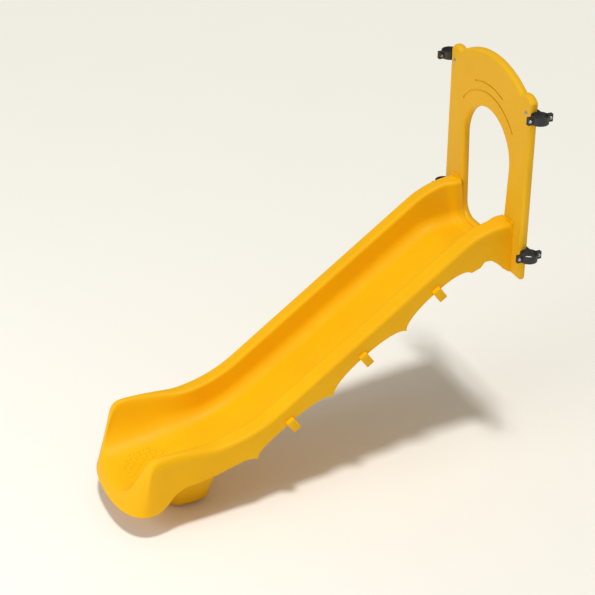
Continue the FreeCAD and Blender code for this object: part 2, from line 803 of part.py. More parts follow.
def hood_outline(sketch):
    half, dip = have.panel_half, have.dip_half
    draw_loop(sketch, [
        (-half, PANEL_BASE_Z),
        (half, PANEL_BASE_Z),
        (half, SIDE_Z),
        (dip, DIP_Z, have.shoulder_round, "right"),
        (-dip, DIP_Z, have.crown_radius, "right"),
        (-half, SIDE_Z, have.shoulder_round, "right"),
    ])


def doorway_outline(sketch):
    half, base, corner = have.door_half, have.door_base_half, have.bed_round
    draw_loop(sketch, [
        (-(base - corner), DOOR_BASE_Z, corner, "right"),
        (base - corner, DOOR_BASE_Z),
        (base, DOOR_BASE_Z + corner, corner, "right"),
        (half, DOOR_SPRING_Z),
        (0, DOOR_TOP_Z, half, "right"),
        (-half, DOOR_SPRING_Z, half, "right"),
        (-base, DOOR_BASE_Z + corner),
    ])


def groove_outline(sketch, offset, angle):
    """A band that follows the arch of the doorway."""
    outer = have.door_half + offset + have.groove_width / 2
    inner = outer - have.groove_width
    across, along = sine(angle), cosine(angle)
    draw_loop(sketch, [
        (outer * across, DOOR_SPRING_Z + outer * along),
        (0, DOOR_SPRING_Z + outer, outer, "right"),
        (-(outer * across), DOOR_SPRING_Z + outer * along, outer, "right"),
        (-(inner * across), DOOR_SPRING_Z + inner * along),
        (0, DOOR_SPRING_Z + inner, inner, "left"),
        (inner * across, DOOR_SPRING_Z + inner * along, inner, "left"),
    ])


def round_panel_edges(body, base):
    """Round the long edges of the panel, front and back, doorway included."""
    front = value_of(FRONT_Y)
    names = []
    for number, edge in enumerate(base.Shape.Edges, start=1):
        box = edge.BoundBox
        flat = box.YMax - box.YMin < 0.01
        if flat and (abs(box.YMin - front) < 0.01 or abs(box.YMax) < 0.01):
            names.append(f"Edge{number}")
    fillet = body.newObject("PartDesign::Fillet", "PanelEdges")
    fillet.Base = (base, names)
    bind(fillet, "Radius", have.panel_round)


def clamp_room(body):
    """Where the clamp rings come nearer to the panel than their clearance, cut its edges back."""
    reach = RING_RADIUS + have.clamp_clearance
    if value_of(POST_X - reach) >= value_of(have.panel_half):
        return
    tall = have.clamp_tall + have.clamp_clearance * 2
    for name, level in (("UpperClampRoom", UPPER_Z), ("LowerClampRoom", LOWER_Z)):
        rings = new_sketch(body, "XY_Plane", name, level + tall / 2)
        for side in (-1, 1):
            draw_circle(rings, POST_X * side, POST_Y, reach)
        pocket(body, rings, f"{name}Pocket", tall)


def hood_panel():
    """The upright panel between the posts, with its arched doorway."""
    body = new_body("hood_panel")
    outline = new_sketch(body, "XZ_Plane", "HoodOutline")
    hood_outline(outline)
    pad(body, outline, "HoodPad", have.panel_depth)
    doorway = new_sketch(body, "XZ_Plane", "Doorway")
    doorway_outline(doorway)
    opening = pocket(body, doorway, "DoorwayPocket")
    round_panel_edges(body, opening)
    for name, offset, angle in (("LongGroove", have.groove_offset, have.groove_angle),
                                ("ShortGroove", have.mark_offset, have.mark_angle)):
        groove = new_sketch(body, "XZ_Plane", name, have.panel_depth)
        groove_outline(groove, offset, angle)
        pocket(body, groove, f"{name}Pocket", have.groove_depth)
    through = new_sketch(body, "XZ_Plane", "ThroughHoles")
    for x in DECK_BOLT_X:
        draw_circle(through, x, 0, have.sleeve_radius)
    for side in (-1, 1):
        draw_circle(through, have.ear_bolt_half * side, UPPER_Z, HOLE_RADIUS)
    pocket(body, through, "ThroughPocket")
    front = new_sketch(body, "XZ_Plane", "FrontInserts", have.panel_depth)
    for side in (-1, 1):
        for level in FLANGE_BOLT_Z:
            draw_circle(front, have.flange_bolt_half * side, level, have.insert_radius)
    pocket(body, front, "FrontInsertPocket", have.insert_length)
    back = new_sketch(body, "XZ_Plane", "BackInserts")
    for side in (-1, 1):
        draw_circle(back, have.ear_bolt_half * side, LOWER_Z, have.insert_radius)
    pocket(body, back, "BackInsertPocket", have.insert_length, flipped=True)
    clamp_room(body)
    return body


# ---------------------------------------------------------------- the split clamps

def clamp_half(label, side, level, toward):
    """Half of a split clamp around a post. toward is -1 for the half next to the hood panel, which
    has the ear that bolts behind it, and 1 for the cap on the far side of the post."""
    outward = side * toward
    edge = have.clamp_gap / 2
    face = edge + have.clamp_lug_thick
    tip = RING_RADIUS + have.clamp_lug
    inner, outer = leg(have.post_radius, edge), leg(RING_RADIUS, face)
    bore_side, ring_side = ("right", "left") if outward > 0 else ("left", "right")

    def at(x, y):
        return POST_X * side + measure(x) * outward, POST_Y + y

    corners = [
        at(edge, -tip),
        at(edge, -inner),
        at(edge, inner) + (have.post_radius, bore_side),
        at(edge, tip),
        at(face, tip),
        at(face, outer),
    ]
    if toward < 0:
        back, front = have.ear_thick - POST_Y, -POST_Y
        ear_end = POST_X - EAR_END_X
        corners += [
            at(leg(RING_RADIUS, back), back) + (RING_RADIUS, ring_side),
            at(ear_end, back),
            at(ear_end, front),
            at(leg(RING_RADIUS, front), front),
        ]
    corners += [
        at(face, -outer) + (RING_RADIUS, ring_side),
        at(face, -tip),
    ]
    body = new_body(label)
    plan = new_sketch(body, "XY_Plane", f"{label}_plan", level - have.clamp_tall / 2)
    draw_loop(plan, corners)
    pad(body, plan, f"{label}_pad", have.clamp_tall)
    bolts = new_sketch(body, "YZ_Plane", f"{label}_bolts")
    for way in (-1, 1):
        draw_circle(bolts, POST_Y + LUG_BOLT_Y * way, level, HOLE_RADIUS)
    pocket(body, bolts, f"{label}_bolt_holes")
    if toward < 0:
        ear = new_sketch(body, "XZ_Plane", f"{label}_ear")
        draw_circle(ear, have.ear_bolt_half * side, level, HOLE_RADIUS)
        pocket(body, ear, f"{label}_ear_hole")
    return body


def clamps():
    halves = []
    for height, level in (("upper", UPPER_Z), ("lower", LOWER_Z)):
        for name, side in SIDES:
            halves.append(clamp_half(f"{height}_{name}_clamp_body", side, level, -1))
            halves.append(clamp_half(f"{height}_{name}_clamp_cap", side, level, 1))
    return halves


# ---------------------------------------------------------------- rows of fasteners

def clamp_fasteners():
    """Two bolts and two nuts close each clamp."""
    face = have.clamp_gap / 2 + have.clamp_lug_thick
    length = face * 2 + have.nut_tall + THREAD_END
    bolts, nuts = [], []
    for height, level in (("upper", UPPER_Z), ("lower", LOWER_Z)):
        for name, side in SIDES:
            for way in (-1, 1):
                tag = f"{height}_{name}_{'front' if way < 0 else 'back'}"
                y = POST_Y + LUG_BOLT_Y * way
                bolt = button_bolt(f"clamp_bolt_{tag}", length)
                bolts.append(face_side(bolt, side, (POST_X + face) * side, y, level))
                nut = hex_nut(f"clamp_nut_{tag}")
                nuts.append(face_side(nut, -side, (POST_X - face) * side, y, level))
    return [group("clamp_bolts", bolts), group("clamp_nuts", nuts)]


def washer(name):
    return ring(name, have.washer_radius, HOLE_RADIUS, have.washer_thick)


def upper_hood_fasteners():
    """A bolt goes through the panel and the ear of each upper clamp."""
    stack = have.washer_thick + have.panel_depth + have.ear_thick
    bolts, washers, nuts = [], [], []
    for name, side in SIDES:
        x = have.ear_bolt_half * side
        bolt = button_bolt(f"upper_bolt_{name}", stack + have.nut_tall + THREAD_END)
        bolts.append(face_forward(bolt, x, FRONT_Y - have.washer_thick, UPPER_Z))
        washers.append(face_forward(washer(f"upper_washer_{name}"), x, FRONT_Y, UPPER_Z))
        nuts.append(face_back(hex_nut(f"upper_nut_{name}"), x, have.ear_thick, UPPER_Z))
    return [group("upper_hood_bolts", bolts), group("upper_hood_washers", washers),
            group("upper_hood_nuts", nuts)]


def lower_hood_fasteners():
    """From behind, a bolt holds each lower clamp's ear to an insert in the panel."""
    length = have.washer_thick + have.ear_thick + have.insert_length - THREAD_END
    bolts, washers, inserts = [], [], []
    for name, side in SIDES:
        x = have.ear_bolt_half * side
        bolt = button_bolt(f"lower_bolt_{name}", length)
        bolts.append(face_back(bolt, x, have.ear_thick + have.washer_thick, LOWER_Z))
        washers.append(face_back(washer(f"lower_washer_{name}"), x, have.ear_thick, LOWER_Z))
        insert = ring(f"lower_insert_{name}", have.insert_radius, THREAD_RADIUS, have.insert_length)
        inserts.append(face_back(insert, x, -have.insert_length, LOWER_Z))
    return [group("lower_hood_bolts", bolts), group("lower_hood_washers", washers),
            group("lower_hood_inserts", inserts)]


def flange_fasteners():
    """Three bolts on each side hold the slide's flange to inserts in the panel."""
    length = have.washer_thick + have.flange_thick + have.insert_length - THREAD_END
    bolts, washers, inserts = [], [], []
    for name, side in SIDES:
        x = have.flange_bolt_half * side
        for row, level in enumerate(FLANGE_BOLT_Z, start=1):
            tag = f"{name}_{row}"
            bolt = button_bolt(f"flange_bolt_{tag}", length)
            bolts.append(face_forward(bolt, x, FLANGE_FRONT_Y - have.washer_thick, level))
            washers.append(face_forward(washer(f"flange_washer_{tag}"), x, FLANGE_FRONT_Y, level))
            insert = ring(f"flange_insert_{tag}", have.insert_radius, THREAD_RADIUS, have.insert_length)
            inserts.append(face_forward(insert, x, FRONT_Y + have.insert_length, level))
    return [group("flange_bolts", bolts), group("flange_washers", washers), group("flange_inserts", inserts)]


def deck_sleeves():
    """Steel sleeves that take the squeeze of the deck bolts through flange and panel."""
    sleeves = []
    for number, x in enumerate(DECK_BOLT_X, start=1):
        sleeve = ring(f"deck_sleeve_{number}", have.sleeve_radius, HOLE_RADIUS, -FLANGE_FRONT_Y)
        sleeves.append(face_forward(sleeve, x, 0, 0))
    return [group("deck_bolt_sleeves", sleeves)]


# ---------------------------------------------------------------- the anchor plate in the foot

def anchor_plate():
    """The steel plate on the floor of the foot that the ground anchors pull on."""
    body = new_body("exit_anchor_plate")
    half, long_half = have.plate_half, have.plate_length / 2
    plan = new_sketch(body, "XY_Plane", "PlatePlan", FLOOR_Z)
    draw_loop(plan, [
        (-half, FOOT_Y - long_half),
        (half, FOOT_Y - long_half),
        (half, FOOT_Y + long_half),
        (-half, FOOT_Y + long_half),
    ])
    pad(body, plan, "PlatePad", have.plate_thick)
    holes = new_sketch(body, "XY_Plane", "PlateHoles", FLOOR_Z)
    for side in (-1, 1):
        draw_circle(holes, have.anchor_half * side, FOOT_Y, have.anchor_radius)
        draw_circle(holes, have.plate_bolt_half * side, FOOT_Y, HOLE_RADIUS)
    pocket(body, holes, "PlateHolePocket")
    return body


def plate_fasteners():
    """Two bolts hold the anchor plate to inserts in the floor of the foot."""
    top = FLOOR_Z + have.plate_thick
    length = have.washer_thick + have.plate_thick + have.short_insert - THREAD_END
    bolts, washers, inserts = [], [], []
    for name, side in SIDES:
        x = have.plate_bolt_half * side
        bolt = button_bolt(f"plate_bolt_{name}", length)
        place(bolt, x, FOOT_Y, top + have.washer_thick)
        bolts.append(bolt)
        flat = washer(f"plate_washer_{name}")
        place(flat, x, FOOT_Y, top)
        washers.append(flat)
        insert = ring(f"plate_insert_{name}", have.insert_radius, THREAD_RADIUS, have.short_insert)
        place(insert, x, FOOT_Y, FLOOR_Z - have.short_insert)
        inserts.append(insert)
    return [group("anchor_plate_bolts", bolts), group("anchor_plate_washers", washers),
            group("anchor_plate_inserts", inserts)]


# ---------------------------------------------------------------- build, check and write

def check_document():
    doc.recompute()
    for thing in doc.Objects:
        if "Invalid" in thing.State or "Error" in thing.State:
            raise RuntimeError(f"{thing.Label} is {thing.State}")


def check_and_write(nodes):
    os.makedirs("parts", exist_ok=True)
    for node in nodes:
        if node.Shape.isNull() or not node.Shape.isValid() or not node.Shape.Solids:
            raise RuntimeError(f"{node.Label} has no good shape")
    for node in nodes:
        node.Shape.exportStep(f"parts/{node.Label}.step")
        print(node.Label, len(node.Shape.Solids), "solid(s)", round(node.Shape.Volume / 1000, 1), "cm3")


nodes = [slide_bedway(), hood_panel()]
nodes += clamps()
nodes += clamp_fasteners() + upper_hood_fasteners() + lower_hood_fasteners()
nodes += flange_fasteners() + deck_sleeves()
nodes += [anchor_plate()] + plate_fasteners()
check_document()
check_and_write(nodes)
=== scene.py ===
"""Looks for the straight slide: the moulded chute with its exit lip, foot and lugs, the finishes, and
the studio. Lengths are in metres, in the frame of the CAD model."""

import math

import bmesh
import bpy
import numpy as np
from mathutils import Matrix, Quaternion, Vector
from mathutils.bvhtree import BVHTree


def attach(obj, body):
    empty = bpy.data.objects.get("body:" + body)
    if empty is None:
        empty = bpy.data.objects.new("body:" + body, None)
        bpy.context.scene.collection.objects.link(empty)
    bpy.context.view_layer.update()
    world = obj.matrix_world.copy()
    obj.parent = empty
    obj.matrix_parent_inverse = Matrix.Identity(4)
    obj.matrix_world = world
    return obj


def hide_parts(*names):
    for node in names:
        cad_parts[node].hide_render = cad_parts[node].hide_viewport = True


bl_info = {
    "name": "Straight Slide Looks",
    "version": (1, 0, 0),
    "blender": (4, 5, 0),
    "location": "View3D > Sidebar > Slide",
    "description": "Builds the moulded chute, its finishes and the studio around the slide's frame",
    "category": "Object",
}

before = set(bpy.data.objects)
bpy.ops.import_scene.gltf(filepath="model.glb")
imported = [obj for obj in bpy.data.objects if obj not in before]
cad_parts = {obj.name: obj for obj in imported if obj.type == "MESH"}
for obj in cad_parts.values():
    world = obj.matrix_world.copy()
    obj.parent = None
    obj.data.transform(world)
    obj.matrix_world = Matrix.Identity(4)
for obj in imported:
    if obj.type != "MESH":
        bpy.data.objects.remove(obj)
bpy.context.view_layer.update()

BODY = "root"

# Steps of the chute's section, from its middle outwards, and where its stretches end.
ARC_STEPS = 14
STRAIGHT_STEPS = 6
SKIRT_STEPS = 26
WALL_END = 2 * STRAIGHT_STEPS + ARC_STEPS
LIP_END = WALL_END + ARC_STEPS
RIM_END = LIP_END + 2 * STRAIGHT_STEPS + ARC_STEPS

# Steps of each line of the exit lip.
TURN_STEPS = 16
RUN_STEPS = 15

# How many rows before the exit lip are eased into it, and how often.
EASED_ROWS = 70
EASE_ROUNDS = 60

SHEET_CREASE = 70
FOOT_WALL = 0.006
FOOT_GAP = 0.0015


# ---------------------------------------------------------------- settings

def length(name, description, default):
    return bpy.props.FloatProperty(name=name, description=description, default=default,
                                   unit="LENGTH", subtype="DISTANCE", precision=4)


def angle(name, description, degrees):
    return bpy.props.FloatProperty(name=name, description=description,
                                   default=math.radians(degrees), unit="ROTATION", subtype="ANGLE")


def colour(name, description, default):
    return bpy.props.FloatVectorProperty(name=name, description=description, default=default,
                                         size=3, subtype="COLOR", min=0.0, max=1.0)


class SlideChuteSettings(bpy.types.PropertyGroup):
    deck: length("Deck", "Height of the deck in the frame", 0.075)
    ground: length("Ground", "Height of the ground in the frame", -1.297)
    start: length("Start", "Front face of the hood panel, where the chute begins", -0.050)
    flat: length("Level part", "Level part before the first bend", 0.018)
    slope: angle("Slope", "Slope of the straight part", 35.2)
    entry_radius: length("Entry radius", "Radius of the rail line at the top bend", 0.350)
    exit_radius: length("Exit radius", "Radius of the rail line at the bottom bend", 0.900)
    exit_height: length("Exit height", "Bed line above the ground at the exit", 0.343)
    exit_flat: length("Exit run", "Level run of the rails at the exit", 0.372)
    entry_floor: length("Entry floor", "Floor of the sit-down part below the deck line", 0.078)
    entry_blend: length("Entry blend", "Softness of the bend under the rider at the top", 0.036)
    exit_blend: length("Exit blend", "Softness of the bend at the bottom", 0.085)
    exit_fall: bpy.props.FloatProperty(name="Exit fall", default=0.155,
                                       description="Slope of the exit bed toward its lip")
    exit_turn: length("Exit turn", "Where the exit bed would be at its height", -1.70)
    bed_half: length("Bed half width", "Centre line to the side of the bed", 0.226)
    inner_half: length("Inner half width", "Centre line to the top of the side wall", 0.246)
    outer_half: length("Outer half width", "Centre line to the skirt at its top", 0.350)
    rail_height: length("Rail height", "Rail above the bed line at its inner lip", 0.179)
    rail_fall: length("Rail fall", "Outer edge of the rail below its inner lip", 0.013)
    rail_rise: length("Rail rise", "Rise of the rail at the exit", 0.018)
    bed_round: length("Bed rounding", "Radius from the bed to the side wall", 0.080)
    lip_round: length("Lip rounding", "Radius over the inner lip", 0.022)
    rim_round: length("Rim rounding", "Radius over the outer edge", 0.024)
    collar: length("Collar", "Closing in of the trough where it meets the hood", 0.022)
    bell: length("Bell", "Opening of the side walls at the exit", 0.042)
    flare: length("Skirt flare", "Skirt further out at its foot", 0.007)
    skin: length("Skin", "Wall of the moulding", 0.007)
    first_point: length("First point", "Path distance to the first point of the skirt", 0.275)
    point_start: length("Row start", "Path distance to the start of the row of points", 0.214)
    pitch: length("Pitch", "One point of the skirt to the next", 0.554)
    point_low: length("Point", "Points of the skirt below the bed line", 0.010)
    scallop_high: length("Scallop", "Scallops of the skirt above the bed line", 0.062)
    lug_long: length("Lug length", "Lug along the slope", 0.052)
    lug_tall: length("Lug height", "Lug up the skirt", 0.085)
    lug_low: length("Lug foot", "Lowest edge of a lug below the bed line", -0.004)
    lug_deep: length("Lug depth", "Lug across the skirt", 0.036)


class SlideExitSettings(bpy.types.PropertyGroup):
    back: length("Back", "Where the exit lip starts", -2.12)
    half: length("Half width", "Half the width of the rim of the lip", 0.360)
    centre: length("Centre", "Centre of the rim's curve", -2.255)
    reach: length("Reach", "Rim in front of that centre", 0.182)
    square: bpy.props.FloatProperty(name="Squareness", default=0.84,
                                    description="Below 1 the rim's curve is fuller than an ellipse")
    rim_height: length("Rim height", "Rim above the ground at the front", 0.162)
    side_height: length("Side rim height", "Rim above the ground at the sides", 0.176)
    corner: length("Corner", "Front corner of the rails", -2.266)
    front: length("Front", "Where the bed turns down at the centre", -2.405)
    corner_round: length("Corner rounding", "Radius of the corner of the rails", 0.070)
    front_round: length("Front rounding", "Radius where the bed turns down", 0.080)
    foot_centre: length("Foot centre", "Centre of the foot", -1.965)
    foot_long: length("Foot length", "Length of the foot at its top", 0.478)
    foot_wide: length("Foot width", "Width of the foot at its top", 0.498)
    foot_taper: length("Foot taper", "Narrowing of the foot on each side down to the ground", 0.100)
    foot_tall: length("Foot height", "Height of the foot", 0.300)
    foot_round: length("Foot rounding", "Rounding of the foot at the ground", 0.060)
    grip_long: length("Grip ridge", "Length of one grip ridge", 0.030)
    grip_wide: length("Grip width", "Width of one grip ridge", 0.0085)
    grip_tall: length("Grip height", "Height of a grip ridge", 0.0045)
    grip_step: length("Grip spacing", "One grip ridge to the next", 0.029)
    grip_half: length("Grip patch", "Half the width of the patch of ridges", 0.125)
    grip_centre: length("Grip centre", "Middle of the patch of ridges", -2.185)


class SlideFinishSettings(bpy.types.PropertyGroup):
    chute: colour("Chute", "Colour of the chute", (0.890, 0.470, 0.002))
    chute_deep: colour("Chute, deeper", "Darker mottling of the chute", (0.860, 0.430, 0.002))
    hood: colour("Hood", "Colour of the hood panel", (0.860, 0.480, 0.012))
    hood_deep: colour("Hood, deeper", "Darker mottling of the hood panel", (0.830, 0.445, 0.010))
    black: colour("Black", "Powder coat", (0.014, 0.014, 0.016))
    black_grey: colour("Black, worn", "Powder coat where it is rubbed", (0.030, 0.030, 0.033))
    steel: colour("Steel", "Stainless steel", (0.560, 0.570, 0.585))
    steel_dark: colour("Steel, darker", "Marks on the steel", (0.380, 0.390, 0.400))
    brass: colour("Brass", "Brass inserts", (0.620, 0.420, 0.140))
    brass_dark: colour("Brass, darker", "Tarnish on the brass", (0.400, 0.260, 0.080))
    zinc: colour("Zinc", "Galvanised plate", (0.480, 0.500, 0.520))
    zinc_dark: colour("Zinc, darker", "Spangle of the plate", (0.340, 0.355, 0.370))


class SlideStageSettings(bpy.types.PropertyGroup):
    floor_size: length("Floor", "Half the size of the floor", 30.0)
    floor_colour: colour("Floor colour", "Pale floor", (0.94, 0.925, 0.86))
    key: bpy.props.FloatProperty(name="Key", description="Strength of the overhead light", default=1.85)
    soft: angle("Softness", "Width of the overhead light", 7.0)
    fill: bpy.props.FloatProperty(name="Fill", description="Power of the front light", default=190.0)
    sky: bpy.props.FloatProperty(name="Sky", description="Strength of the surrounding light",
                                 default=0.34)
    lens: bpy.props.FloatProperty(name="Lens", description="Focal length", default=104.0,
                                  unit="CAMERA")


# ---------------------------------------------------------------- shape helpers

def smooth_min(a, b, soft):
    return 0.5 * (a + b - np.sqrt((a - b) ** 2 + soft ** 2))


def smooth_max(a, b, soft):
    return 0.5 * (a + b + np.sqrt((a - b) ** 2 + soft ** 2))


def ease(value):
    value = np.clip(value, 0.0, 1.0)
    return value * value * (3.0 - 2.0 * value)


class RailLine:
    """The line that the rails follow, seen from the side: level, bend, straight, bend, level."""

    def __init__(self, s):
        self.s = s
        both = s.entry_radius + s.exit_radius
        drop = s.deck - (s.ground + s.exit_height)
        self.straight = (drop - both * (1 - math.cos(s.slope))) / math.sin(s.slope)
        self.runs = (
            (s.flat, 0.0),
            (s.entry_radius * s.slope, 1.0 / s.entry_radius),
            (self.straight, 0.0),
            (s.exit_radius * s.slope, -1.0 / s.exit_radius),
            (s.exit_flat, 0.0),
        )
        self.total = sum(run[0] for run in self.runs)

    def at(self, distance):
        """The point and the downward angle at a distance along the line."""
        y, z, tilt = self.s.start, self.s.deck, 0.0
        left = distance
        for number, (run, bend) in enumerate(self.runs):
            step = left if number == len(self.runs) - 1 else min(left, run)
            if bend:
                turned = tilt + step * bend
                y -= (math.sin(turned) - math.sin(tilt)) / bend
                z -= (math.cos(tilt) - math.cos(turned)) / bend
                tilt = turned
            else:
                y -= math.cos(tilt) * step
                z -= math.sin(tilt) * step
            left -= step
            if left <= 0:
                break
        return y, z, tilt

    def distance_to(self, y):
        """How far along the line a place on the exit run is."""
        return self.total - (y - self.at(self.total)[0])


def bed_height(s, y):
    """Height of the bed's middle at a place: level floor, slope, then the falling exit."""
    tangent = math.tan(s.slope)
    corner = s.start - s.flat - s.entry_radius * math.tan(s.slope / 2)
    level = s.deck - s.entry_floor
    slope = s.deck + (y - corner) * tangent
    leaving = s.ground + s.exit_height + s.exit_fall * (y - s.exit_turn)
    return smooth_max(smooth_min(level, slope, s.entry_blend), leaving, s.exit_blend)


def bed_offset(s, y, z, tilt):
    """How far the bed is from the rail line, square to it."""
    away = (-math.sin(tilt), math.cos(tilt))
    low, high = -0.2, 0.2
    for _ in range(40):
        middle = (low + high) / 2
        if z + middle * away[1] < bed_height(s, y + middle * away[0]):
            low = middle
        else:
            high = middle
    return (low + high) / 2


def rounded(points, radii, arc_steps, straight_steps):
    """Points along a line of corners, each rounded, with the same count whatever its size."""
    points = [np.array(p, float) for p in points]
    out = []
    here = points[0]
    for index in range(1, len(points) - 1):
        corner, radius = points[index], radii[index - 1]
        before = points[index - 1] - corner
        after = points[index + 1] - corner
        a, b = np.linalg.norm(before), np.linalg.norm(after)
        before, after = before / a, after / b
        half = math.acos(max(-1.0, min(1.0, float(before @ after)))) / 2
        reach = min(radius / math.tan(half), 0.48 * a, 0.48 * b)
        radius = reach * math.tan(half)
        first, last = corner + before * reach, corner + after * reach
        for step in range(straight_steps):
            out.append(here + (first - here) * (step / straight_steps))
        middle = before + after
        middle /= np.linalg.norm(middle)
        centre = corner + middle * (radius / math.sin(half))
        spoke_a, spoke_b = first - centre, last - centre
        whole = math.acos(max(-1.0, min(1.0, float(spoke_a @ spoke_b) / radius ** 2)))
        for step in range(arc_steps):
            part = step / arc_steps
            one = math.sin((1 - part) * whole) / math.sin(whole)
            two = math.sin(part * whole) / math.sin(whole)
            out.append(centre + spoke_a * one + spoke_b * two)
        here = last
    for step in range(straight_steps + 1):
        out.append(here + (points[-1] - here) * (step / straight_steps))
    return np.array(out)


def skirt_foot(s, distance):
    """Height of the skirt's lower edge above the rail line."""
    if distance < s.first_point:
        keys = ((0.0, -s.deck + s.ground + 1.234), (0.06, -0.105), (0.135, -0.020), (0.172, -0.004),
                (0.215, -0.020), (s.first_point, -s.point_low * 0.4))
        places, values = zip(*keys)
        return float(np.interp(distance, places, values))
    last = s.point_start + 3 * s.pitch
    if distance < last:
        number = int((distance - s.point_start) // s.pitch)
        near = s.first_point if number == 0 else s.point_start + number * s.pitch
        far = s.point_start + (number + 1) * s.pitch
        lug = s.point_start + (number + 0.5) * s.pitch
        low_near = s.point_low * (0.4 if number == 0 else 1.0)
        low_far = s.point_low * (1.2 if number == 2 else 1.0)
        if distance < lug:
            part, low = (distance - near) / (lug - s.lug_long / 2 - near), low_near
        else:
            part, low = (far - distance) / (far - lug - s.lug_long / 2), low_far
        part = min(1.0, max(0.0, part))
        rise = math.sqrt(1 - (1 - part) ** 2)
        return -low + (s.scallop_high + low) * rise
    keys = ((last, -0.012), (last + 0.03, 0.006), (last + 0.08, 0.020), (2.051, 0.012), (2.16, -0.008),
            (2.2425, -0.024), (2.3125, -0.028), (2.3715, -0.055))
    places, values = zip(*keys)
    return float(np.interp(distance, places, values))


def section(s, bed, rise, foot, open_out, close_in):
    """Half of the chute's section, from its middle to the foot of the skirt: across and away.
    Toward the exit it opens out like a bell, as far as open_out says, from 0 to 1, and toward the
    hood it closes in to a collar, as far as close_in says."""
    top = s.rail_height + rise
    inner = (s.inner_half + s.bell * open_out - s.collar * close_in, top)
    bed += s.collar * 0.6 * close_in
    outer = (s.outer_half, top - s.rail_fall)
    corners = [(0.0, bed), (s.bed_half - s.collar * close_in, bed), inner, outer, (s.outer_half, top - 0.10)]
    radii = (s.bed_round * (1 + open_out), s.lip_round * (1 + 0.7 * open_out),
             s.rim_round * (1 + 0.5 * open_out))
    upper = rounded(corners, radii, ARC_STEPS, STRAIGHT_STEPS)
    start = upper[-1]
    span = s.rail_height + 0.03
    rows = []
    for step in range(1, SKIRT_STEPS + 1):
        height = start[1] + (foot - start[1]) * step / SKIRT_STEPS
        fall = (start[1] - height) / span
        rows.append((s.outer_half + s.flare * fall, height))
    return np.vstack([upper, np.array(rows)])


def sheet_mesh(name, points, skin):
    """A smooth sheet through a grid of points, given a wall of one thickness."""
    rows, columns = points.shape[:2]
    mesh = bpy.data.meshes.new(name)
    faces = []
    for row in range(rows - 1):
        for column in range(columns - 1):
            a = row * columns + column
            faces.append((a, a + 1, a + columns + 1, a + columns))
    mesh.from_pydata(points.reshape(-1, 3).tolist(), [], faces)
    mesh.update()
    return finish_mesh(name, mesh, skin, SHEET_CREASE)


def finish_mesh(name, mesh, skin=0.0, crease=40):
    """Make an object of a mesh, thicken it, and shade it smooth but for sharp edges."""
    work = bmesh.new()
    work.from_mesh(mesh)
    bmesh.ops.remove_doubles(work, verts=work.verts, dist=0.00002)
    bmesh.ops.dissolve_degenerate(work, edges=work.edges, dist=0.00001)
    bmesh.ops.recalc_face_normals(work, faces=work.faces)
    work.to_mesh(mesh)
    work.free()
    thing = bpy.data.objects.new(name, mesh)
    bpy.context.collection.objects.link(thing)
    if skin:
        wall = thing.modifiers.new("Wall", "SOLIDIFY")
        wall.thickness = abs(skin)
        wall.offset = -1.0 if skin > 0 else 1.0
        wall.use_even_offset = False
        bake(thing)
    mesh = thing.data
    work = bmesh.new()
    work.from_mesh(mesh)
    limit = math.radians(crease)
    for edge in work.edges:
        edge.smooth = not (len(edge.link_faces) == 2 and edge.calc_face_angle(0) > limit)
    for face in work.faces:
        face.smooth = True
    work.to_mesh(mesh)
    work.free()
    return thing


def bake(thing):
    """Turn an object with modifiers into a plain mesh."""
    graph = bpy.context.evaluated_depsgraph_get()
    mesh = bpy.data.meshes.new_from_object(thing.evaluated_get(graph))
    thing.modifiers.clear()
    thing.data = mesh
    return thing


def add_piece(thing, material):
    thing.data.materials.clear()
    thing.data.materials.append(material)
    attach(thing, BODY)
    return thing


def mirrored(half):
    """A whole section from its half: left side first."""
    left = half[:0:-1].copy()
    left[:, 0] *= -1
    return np.vstack([left, half])


# ---------------------------------------------------------------- chute

def chute_points(s, e):
    """The grid of the chute's face, from the hood to the rim of its exit lip."""
    line = RailLine(s)
    end = line.distance_to(e.back)
    stations = np.linspace(0.0, end, 420)
    rows = []
    last_half = None
    for distance in stations:
        y, z, tilt = line.at(distance)
        bed = bed_offset(s, y, z, tilt)
        rise = s.rail_rise * ease((distance - (end - 0.30)) / 0.30)
        open_out = ease((distance - (end - 0.42)) / 0.42)
        close_in = 1 - ease((distance - 0.035) / 0.05)
        half = section(s, bed, rise, skirt_foot(s, distance), open_out, close_in)
        whole = mirrored(half)
        away, along = math.cos(tilt), -math.sin(tilt)
        rows.append(np.column_stack([whole[:, 0], y + whole[:, 1] * along, z + whole[:, 1] * away]))
        last_half = np.column_stack([half[:, 0], y + half[:, 1] * along, z + half[:, 1] * away])
    lip = exit_lip(s, e, last_half)
    grid = [row for row in rows]
    for row in lip[1:]:
        left = row[:0:-1].copy()
        left[:, 0] *= -1
        grid.append(np.vstack([left, row]))
    return relaxed(np.array(grid), len(stations) - EASED_ROWS, len(stations), EASE_ROUNDS)


def relaxed(grid, first, full, rounds):
    """Ease the rows toward their neighbours, but for the rim and the feet: not at all at the first
    row, and more and more up to the full one, so that no seam shows."""
    part = grid[first:].copy()
    for _ in range(rounds):
        around = (part[:-2, 1:-1] + part[2:, 1:-1] + part[1:-1, :-2] + part[1:-1, 2:]) / 4
        part[1:-1, 1:-1] += 0.6 * (around - part[1:-1, 1:-1])
    share = np.array([ease(row / (full - first)) for row in range(len(part))])[:, None, None]
    grid[first:] += share * (part - grid[first:])
    return grid


